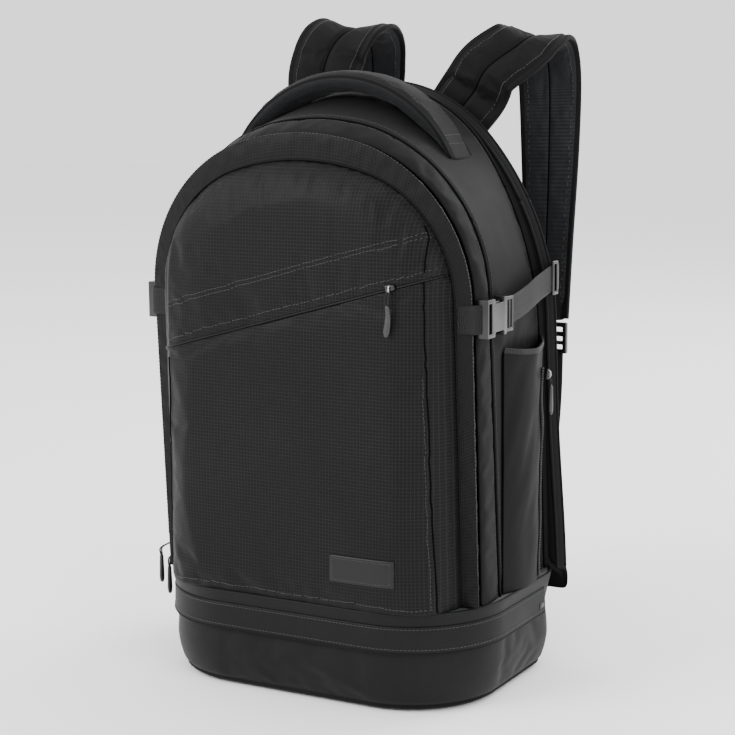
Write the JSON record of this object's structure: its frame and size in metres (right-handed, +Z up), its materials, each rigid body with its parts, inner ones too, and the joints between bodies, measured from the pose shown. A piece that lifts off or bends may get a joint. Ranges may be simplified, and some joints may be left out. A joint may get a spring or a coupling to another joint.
{
  "type": "ski boot bag",
  "caption": "Soft backpack with a zip-round boot compartment in its base, an opening arched front, side pockets, compression buckles and padded straps.",
  "frame": {"origin": "on the ground under the middle of the base, midway between its sides", "axes": "+Z up, front towards -Y, back panel and shoulder straps towards +Y, right side of the bag as seen from the front towards +X"},
  "size_m": [0.3622, 0.3023, 0.6183],
  "materials": {
    "ripstop_fabric": "coated woven with a fine grid",
    "shell_fabric": "matt woven",
    "base_fabric": "coated woven, slightly glossy",
    "lining_fabric": "light woven lining",
    "spacer_mesh": "knitted mesh over foam",
    "webbing": "ribbed woven tape",
    "zip_tape": "coated tape with coil teeth",
    "stretch_mesh": "knitted stretch",
    "moulded_plastic": "glossy moulding",
    "stiffener_plastic": "plain sheet",
    "zip_metal": "satin dark coating",
    "pull_rubber": "soft matt moulding",
    "label_fabric": "plain satin patch"
  },
  "bodies": {
    "base": {"boot_tub": "base_fabric", "floor_board": "stiffener_plastic", "boot_zip_lower_tape": "zip_tape"},
    "pack_body": {"boot_zip_upper_tape": "zip_tape", "base_band": "base_fabric", "storm_flap": "base_fabric", "divider_panel": "lining_fabric", "main_zip_rear_tape": "zip_tape", "zip_band": "shell_fabric", "main_gusset": "shell_fabric", "back_lining": "lining_fabric", "frame_sheet": "stiffener_plastic", "back_pad": "spacer_mesh", "grab_handle": "shell_fabric", "strap_root_right": "shell_fabric", "strap_root_left": "shell_fabric", "side_pocket_right": "stretch_mesh", "side_pocket_left": "stretch_mesh", "side_zip_right": "zip_tape", "side_zip_left": "zip_tape", "edge_rings": "moulded_plastic", "ring_tabs": "webbing", "lower_anchors": "webbing", "side_webbing_right": "webbing", "side_webbing_left": "webbing", "lower_webbing_right": "webbing", "lower_webbing_left": "webbing", "front_fold": "ripstop_fabric", "label_patch": "label_fabric"},
    "front_section": {"front_yoke": "ripstop_fabric", "front_panel": "ripstop_fabric", "slant_zip_tape": "zip_tape", "pocket_gusset": "shell_fabric", "pocket_back_wall": "lining_fabric", "main_zip_front_tape": "zip_tape", "front_tabs": "webbing", "buckle_female_right": "moulded_plastic", "buckle_female_left": "moulded_plastic"},
    "boot_slider_right": {"boot_slider_right": "zip_metal"},
    "boot_slider_left": {"boot_slider_left": "zip_metal"},
    "main_slider_upper": {"main_slider_upper": "zip_metal"},
    "main_slider_lower": {"main_slider_lower": "zip_metal"},
    "main_pull_upper": {"main_pull_upper": "pull_rubber"},
    "main_pull_lower": {"main_pull_lower": "pull_rubber"},
    "slant_zip_slider": {"slant_zip_slider": "zip_metal"},
    "slant_zip_pull": {"slant_zip_pull": "pull_rubber"},
    "side_slider_right": {"side_slider_right": "zip_metal"},
    "side_slider_left": {"side_slider_left": "zip_metal"},
    "side_pull_right": {"side_pull_right": "pull_rubber"},
    "side_pull_left": {"side_pull_left": "pull_rubber"},
    "buckle_right": {"buckle_male_right": "moulded_plastic", "buckle_prongs_right": "moulded_plastic"},
    "buckle_left": {"buckle_male_left": "moulded_plastic", "buckle_prongs_left": "moulded_plastic"},
    "strap_right": {"shoulder_strap_right": "spacer_mesh"},
    "strap_left": {"shoulder_strap_left": "spacer_mesh"},
    "lock_right": {"ladder_lock_right": "moulded_plastic"},
    "lock_left": {"ladder_lock_left": "moulded_plastic"}
  },
  "joints": [
    {"name": "base_open", "type": "hinge", "parent": "base", "child": "pack_body", "pos_m": [0, 0.113, 0.064], "axis": [-1, 0, 0], "range_deg": [0, 60]},
    {"name": "boot_zip_right", "type": "slide", "parent": "base", "child": "boot_slider_right", "axis": [0, -1, 0], "range_m": [0, 0.075]},
    {"name": "boot_zip_left", "type": "slide", "parent": "base", "child": "boot_slider_left", "axis": [0, -1, 0], "range_m": [0, 0.075]},
    {"name": "front_open", "type": "hinge", "parent": "pack_body", "child": "front_section", "pos_m": [0, -0.05041, 0.1], "axis": [1, 0, 0], "range_deg": [0, 60], "deforming": ["front_fold", "label_patch"]},
    {"name": "main_zip_upper", "type": "slide", "parent": "pack_body", "child": "main_slider_upper", "axis": [0, -0.0509, 0.9987], "range_m": [0, 0.2]},
    {"name": "main_zip_lower", "type": "slide", "parent": "pack_body", "child": "main_slider_lower", "axis": [0, -0.0509, 0.9987], "range_m": [-0.006, 0]},
    {"name": "main_pull_upper_swing", "type": "hinge", "parent": "main_slider_upper", "child": "main_pull_upper", "pos_m": [-0.1648, -0.05127, 0.1135], "axis": [0, 1, 0], "range_deg": [0, 100]},
    {"name": "main_pull_lower_swing", "type": "hinge", "parent": "main_slider_lower", "child": "main_pull_lower", "pos_m": [-0.1648, -0.05061, 0.1005], "axis": [0, 1, 0], "range_deg": [0, 100]},
    {"name": "slant_zip", "type": "slide", "parent": "front_section", "child": "slant_zip_slider", "axis": [-0.9632, -0.0015, -0.2687], "range_m": [0, 0.185]},
    {"name": "slant_pull_swing", "type": "hinge", "parent": "slant_zip_slider", "child": "slant_zip_pull", "pos_m": [0.102, -0.10436, 0.37373], "axis": [-1, 0, 0], "range_deg": [0, 100]},
    {"name": "side_zip_right", "type": "slide", "parent": "pack_body", "child": "side_slider_right", "axis": [-0.013, 0, -0.9999], "range_m": [0, 0.15]},
    {"name": "side_zip_left", "type": "slide", "parent": "pack_body", "child": "side_slider_left", "axis": [0.013, 0, -0.9999], "range_m": [0, 0.15]},
    {"name": "side_pull_right_swing", "type": "hinge", "parent": "side_slider_right", "child": "side_pull_right", "pos_m": [0.17803, 0.062, 0.2805], "axis": [0, -1, 0], "range_deg": [0, 100]},
    {"name": "side_pull_left_swing", "type": "hinge", "parent": "side_slider_left", "child": "side_pull_left", "pos_m": [-0.17803, 0.062, 0.2805], "axis": [0, 1, 0], "range_deg": [0, 100]},
    {"name": "buckle_right_unclip", "type": "slide", "parent": "pack_body", "child": "buckle_right", "axis": [0, 1, 0], "range_m": [0, 0.03], "deforming": ["buckle_prongs_right", "side_webbing_right"]},
    {"name": "buckle_left_unclip", "type": "slide", "parent": "pack_body", "child": "buckle_left", "axis": [0, 1, 0], "range_m": [0, 0.03], "deforming": ["buckle_prongs_left", "side_webbing_left"]},
    {"name": "strap_right_swing", "type": "hinge", "parent": "pack_body", "child": "strap_right", "pos_m": [0.0795, 0.1125, 0.538], "axis": [0.8296, 0.2074, -0.5185], "range_deg": [0, 20], "deforming": ["lower_webbing_right"]},
    {"name": "strap_left_swing", "type": "hinge", "parent": "pack_body", "child": "strap_left", "pos_m": [-0.0742, 0.1105, 0.5402], "axis": [0.9794, 0.049, 0.1959], "range_deg": [0, 20], "deforming": ["lower_webbing_left"]},
    {"name": "lock_right_tilt", "type": "hinge", "parent": "strap_right", "child": "lock_right", "pos_m": [0.134, 0.167, 0.31375], "axis": [1, 0, 0], "range_deg": [0, 45]},
    {"name": "lock_left_tilt", "type": "hinge", "parent": "strap_left", "child": "lock_left", "pos_m": [-0.134, 0.167, 0.31375], "axis": [1, 0, 0], "range_deg": [0, 45]}
  ]
}
